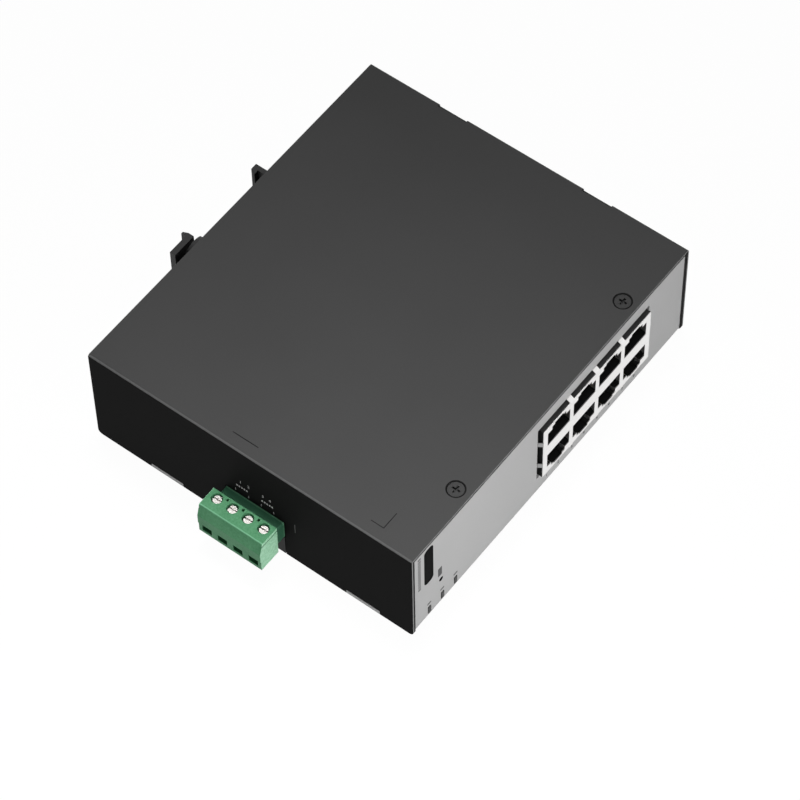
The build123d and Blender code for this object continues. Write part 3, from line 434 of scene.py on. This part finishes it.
# Clamp screws
# Slotted cheese-head screws of plated steel, bright where they are faced.
# Beyond the faced top the rim is painted dark green, as painted shade and a
# painted reflection of the plug's bore.
clamp_x, first_y, second_y, faced_radius = -81.1 * MM, -11.075 * MM, -4.825 * MM, 1.5 * MM
bore_shade_green = (0.02, 0.06, 0.032, 1)
screw_plate = Finish("bright_plate", Metallic=0.85)
faced = screw_plate.noise(0.0003, 2.0, 0.5)
along_row = screw_plate.along(1) - first_y
off_axis = along_row.math("PINGPONG", along_row, (second_y - first_y) / 2)
from_axis = screw_plate.distance(screw_plate.along(0) - clamp_x, off_axis)
plate = screw_plate.blend(faced, grey(0.36, 0.05), grey(0.58, 0.04))
screw_plate.set(
    # Beyond the faced top the rim is painted dark green: painted shade and painted reflection of the bore.
    Base_Color=screw_plate.blend(from_axis > faced_radius, plate, bore_shade_green),
    Roughness=0.26 + faced * 0.2,
    Normal=screw_plate.bump(faced, 0.15, 0.00002),
)
dress(screw_plate, *[f"clamp_screw_{n}" for n in range(1, 5)])

# Rail clip
# Base and latch are moulded in black nylon, a little glossier than the port
# block, with a fine spark-eroded texture from the mould.
nylon = Finish("black_nylon", Specular_IOR_Level=0.2)
erosion = nylon.noise(0.00035, 2.0, 0.5)
nylon.set(
    Base_Color=nylon.blend(erosion, grey(0.006), grey(0.011)),
    Roughness=0.38 + erosion * 0.2,
    Normal=nylon.bump(erosion, 0.3, 0.00003),
)
dress(nylon, "din_base", "din_latch")

# Panel print
# Screen-printed ink on the port panel: a bare black tag beside a row of plain
# bars, a strip by the reset hole, a dash over each light and port numbers.
PRINT = 0.03 * MM


def ink(name, colour):
    """Screen ink: one colour with a slight unevenness in its film."""
    film = Finish(name, Roughness=0.6, Specular_IOR_Level=0.01)
    film.set(Base_Color=film.blend(film.noise(0.0005), tuple(0.85 * c for c in colour[:3]) + (1,), colour))
    return film


def finished(name, mesh, finish, body):
    """Links a mesh as a piece of the object, with its finish, body and slot."""
    piece = bpy.data.objects.new(name, mesh)
    bpy.context.scene.collection.objects.link(piece)
    mesh.materials.append(finish.material)
    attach(piece, body)


def rounded_plates(name, plates, place):
    """Flat plates with round corners, all in one mesh.

    A plate's outline at angle t is the corner's centre, on the side that the
    signs of cos t and sin t give, plus the corner's radius times (cos t, sin t).
    Rings shrink that outline from the foot to the bevelled edge and the centre.
    plates lists (x, z, half width, half height, corner) in millimetres; place
    turns them into the frame.
    """
    steps = 32
    turn = (np.arange(steps) + 0.5) * 2 * np.pi / steps
    rings = np.array([(1.0, 0.0), (1.0, 0.7), (0.97, 1.0), (0.0, 1.0)])
    points, faces = [], []
    for x, z, half_x, half_z, corner in np.array(plates) * MM:
        outline = np.stack(
            [
                np.sign(np.cos(turn)) * (half_x - corner) + corner * np.cos(turn),
                np.sign(np.sin(turn)) * (half_z - corner) + corner * np.sin(turn),
            ],
            axis=1,
        )
        flat = rings[:, None, :1] * outline[None] + np.array([x, z])
        lift = np.broadcast_to(rings[:, None, 1:] * PRINT, flat[..., :1].shape)
        start = sum(len(p) for p in points)
        points.append(np.concatenate([flat, lift], axis=2).reshape(-1, 3))
        ring, step = np.meshgrid(np.arange(len(rings) - 1), np.arange(steps), indexing="ij")
        here, above, ahead = ring * steps, (ring + 1) * steps, (step + 1) % steps
        corners = [here + step, here + ahead, above + ahead, above + step]
        faces.append(start + np.stack(corners, axis=2).reshape(-1, 4))
    mesh = bpy.data.meshes.new(name)
    mesh.from_pydata(np.concatenate(points).tolist(), [], np.concatenate(faces).tolist())
    mesh.transform(place)
    mesh.update()
    return mesh


on_panel = Matrix.Translation((0, panel_y, 0)) @ Matrix.Rotation(math.pi / 2, 4, "X")
tag_ink = ink("black_ink", grey(0.006))
grey_ink = ink("grey_ink", grey(0.14))
tag_plate = (-65.1, 30.6, 2.35, 9.9, 1.7)
finished(
    "panel_tag", rounded_plates("panel_tag", [tag_plate], on_panel), tag_ink, "enclosure"
)
light_middles, dash_level = [-65.1, -58.3, -51.3], 7.9
reset_strip = (-59.4, 19.4, 1.0, 2.3, 0.1)
bar_middle, bar_foot, bar_step, bar_count = -69.9, 22.2, 1.6, 12
marks = [(x, dash_level, 1.0, 0.35, 0.12) for x in light_middles]
marks.append(reset_strip)
marks += [(bar_middle, bar_foot + bar_step * row, 0.75, 0.42, 0.12) for row in range(bar_count)]
panel_marks = rounded_plates("panel_marks", marks, on_panel)
finished("panel_marks", panel_marks, grey_ink, "enclosure")


def numbers(name, words, size, place):
    """Plain digits as a thin mesh: words lists (digits, x, z), all in millimetres."""
    parts = []
    for digits, x, z in words:
        curve = bpy.data.curves.new(name, "FONT")
        curve.body = digits
        curve.size = size * MM
        curve.align_x = "CENTER"
        curve.align_y = "CENTER"
        curve.extrude = PRINT / 2
        curve.resolution_u = 3
        holder = bpy.data.objects.new(name, curve)
        drawn_digits = bpy.data.meshes.new_from_object(holder)
        drawn_digits.transform(place @ Matrix.Translation((x * MM, z * MM, PRINT / 2)))
        points = np.array([v.co for v in drawn_digits.vertices], float)
        parts.append((points, [list(p.vertices) for p in drawn_digits.polygons]))
        bpy.data.objects.remove(holder)
    starts = np.cumsum([0] + [len(points) for points, _ in parts])
    mesh = bpy.data.meshes.new(name)
    mesh.from_pydata(
        np.concatenate([points for points, _ in parts]).tolist(),
        [],
        [[i + start for i in face] for start, (_, polygons) in zip(starts, parts) for face in polygons],
    )
    return mesh


port_marks = [-2.4, 4.1, 11.5, 18.2, 25.5, 32.3, 39.6, 46.2]
port_level, port_digit_size = 4.2, 2.0
port_words = [(str(n), x, port_level) for n, x in enumerate(port_marks, start=1)]
port_digits = numbers("port_numbers", port_words, port_digit_size, on_panel)
finished("port_numbers", port_digits, tag_ink, "enclosure")

# Wall print
# White ink above the power terminal, on the cover's end wall: a tick over each
# pole, short bars in two groups, plain pole numbers, and a faint grey line
# beside them. The drawing's own x runs against the frame's y.
white_ink = ink("white_ink", grey(0.5))
upright = Matrix.Rotation(-math.pi / 2, 4, "Z") @ Matrix.Rotation(math.pi / 2, 4, "X")
on_wall = Matrix.Translation((cover_low.x, 0, 0)) @ upright
poles, tick_level = [5.9, 0.6, -4.5, -9.5], 20.3
ticks = [(-y, tick_level, 0.13, 0.6, 0.08) for y in poles]
group_starts, group_bars, group_level = (5.2, -5.0), 5, 23.2
bar_places = [first - step for first in group_starts for step in range(group_bars)]
bars = [(-y, group_level, 0.3, 0.42, 0.1) for y in bar_places]
wall_ticks = rounded_plates("wall_ticks", ticks + bars, on_wall)
finished("wall_ticks", wall_ticks, white_ink, "enclosure")
faint_line = (17.95, 19.0, 0.11, 2.4, 0.08)
wall_line = rounded_plates("wall_line", [faint_line], on_wall)
finished("wall_line", wall_line, grey_ink, "enclosure")
digit_places, digit_level, pole_digit_size = (3.6, 0.4, -5.4, -8.2), 26.1, 1.9
pole_words = [(str(n), -y, digit_level) for n, y in enumerate(digit_places, start=1)]
pole_digits = numbers("pole_numbers", pole_words, pole_digit_size, on_wall)
finished("pole_numbers", pole_digits, white_ink, "enclosure")

# Cover print
# Thin dark lines on the cover's top: one beside the terminal and a corner
# mark, in an ink that is only a little darker than the coat.
cover_ink = ink("cover_ink", grey(0.018))
top_lines = [
    (-69.15, 4.35, 0.16, 5.1, 0.1),
    (-69.2, -47.5, 0.14, 2.5, 0.1),
    (-65.9, -49.95, 3.4, 0.14, 0.1),
]
on_top = Matrix.Translation((0, 0, cover_high.z))
top_marks = rounded_plates("top_lines", top_lines, on_top)
finished("top_lines", top_marks, cover_ink, "enclosure")

# Light, floor and camera
# A white floor with a soft shadow, a gridded lamp over the near end, and weaker
# lamps on the port side, the terminal side and behind. The camera stands where
# the photograph's does.
scene = bpy.context.scene
scene.view_settings.view_transform = "Standard"


def seen_share(tree, unseen, seen):
    """A number that is seen for camera, glossy and transmission rays and unseen for the rest."""
    path = tree.nodes.new("ShaderNodeLightPath")
    strongest = path.outputs["Is Camera Ray"]
    for ray in ("Is Glossy Ray", "Is Transmission Ray"):
        either = tree.nodes.new("ShaderNodeMath")
        either.operation = "MAXIMUM"
        tree.links.new(strongest, either.inputs[0])
        tree.links.new(path.outputs[ray], either.inputs[1])
        strongest = either.outputs[0]
    number = tree.nodes.new("ShaderNodeMapRange")
    number.inputs["To Min"].default_value = unseen
    number.inputs["To Max"].default_value = seen
    tree.links.new(strongest, number.inputs["Value"])
    return number.outputs["Result"]


seen_white, floor_bounce, floor_glow = 0.95, 0.2, 0.97


def stage_material(name, bounce, glow):
    """White where it is seen, mixed with its own glow; it gives less light back to the object."""
    material = bpy.data.materials.new(name)
    material.use_nodes = True
    tree = material.node_tree
    tree.nodes.clear()
    diffuse = tree.nodes.new("ShaderNodeBsdfDiffuse")
    tree.links.new(seen_share(tree, bounce, seen_white), diffuse.inputs["Color"])
    white = tree.nodes.new("ShaderNodeEmission")
    white.inputs["Strength"].default_value = 1.0
    mix = tree.nodes.new("ShaderNodeMixShader")
    tree.links.new(seen_share(tree, 0.0, glow), mix.inputs[0])
    tree.links.new(diffuse.outputs[0], mix.inputs[1])
    tree.links.new(white.outputs[0], mix.inputs[2])
    output = tree.nodes.new("ShaderNodeOutputMaterial")
    tree.links.new(mix.outputs[0], output.inputs["Surface"])
    return material


floor_mesh = bpy.data.meshes.new("floor")
reach = 6.0
floor_mesh.from_pydata(
    [(-reach, -reach, 0), (reach, -reach, 0), (reach, reach, 0), (-reach, reach, 0)], [], [(0, 1, 2, 3)]
)
floor = bpy.data.objects.new("floor", floor_mesh)
floor_mesh.materials.append(stage_material("floor_white", floor_bounce, floor_glow))
scene.collection.objects.link(floor)

world = bpy.data.worlds.new("studio")
scene.world = world
world.use_nodes = True
sky = world.node_tree.nodes["Background"]
sky.inputs["Color"].default_value = (1, 1, 1, 1)
sky_light, sky_seen = 0.12, 1.0
world.node_tree.links.new(seen_share(world.node_tree, sky_light, sky_seen), sky.inputs["Strength"])


def softbox(name, place, aim, size, power, grid_angle):
    """A square area lamp at place that faces aim, with a grid that holds its light to an angle."""
    lamp = bpy.data.lights.new(name, "AREA")
    lamp.size = size
    lamp.energy = power
    lamp.spread = math.radians(grid_angle)
    holder = bpy.data.objects.new(name, lamp)
    holder.location = place
    holder.rotation_mode = "QUATERNION"
    holder.rotation_quaternion = (Vector(aim) - Vector(place)).to_track_quat("-Z", "Y")
    scene.collection.objects.link(holder)
    return holder


softbox("top_lamp", (0.05, 0.06, 1.0), (-0.14, -0.08, 0.044), 0.3, 0.42, 31)
softbox("port_lamp", (-0.12, -0.5, 0.2), (-0.06, -0.065, 0.02), 0.25, 0.76, 120)
softbox("terminal_lamp", (-0.7, 0.0, 0.25), (-0.08, 0.0, 0.02), 0.5, 1.15, 150)
softbox("rear_lamp", (0.5, 0.75, 0.2), (0.0, 0.0, 0.02), 0.5, 2.7, 120)

VIEW_AZIMUTH, VIEW_ELEVATION, VIEW_ROLL = math.radians(-51.68), math.radians(56.0), math.radians(-1.288)
VIEW_DISTANCE, VIEW_RIGHT, VIEW_UP = 1.2339, 0.00261, -0.01911
back = Vector(
    (
        math.sin(VIEW_AZIMUTH) * math.cos(VIEW_ELEVATION),
        -math.cos(VIEW_AZIMUTH) * math.cos(VIEW_ELEVATION),
        math.sin(VIEW_ELEVATION),
    )
)
level = Vector((math.cos(VIEW_AZIMUTH), math.sin(VIEW_AZIMUTH), 0))
rise = back.cross(level)
right = level * math.cos(VIEW_ROLL) + rise * math.sin(VIEW_ROLL)
up = rise * math.cos(VIEW_ROLL) - level * math.sin(VIEW_ROLL)
camera = bpy.data.objects.new("camera", bpy.data.cameras.new("camera"))
camera.data.lens = 171.1
camera.data.sensor_width = 36.0
camera.data.clip_end = 20.0
box_middle = Vector((0, 0, 22 * MM))
spot = box_middle + right * VIEW_RIGHT + up * VIEW_UP + back * VIEW_DISTANCE
turned = Matrix((right, up, back)).transposed()
camera.matrix_world = Matrix.Translation(spot) @ turned.to_4x4()
scene.collection.objects.link(camera)
scene.camera = camera
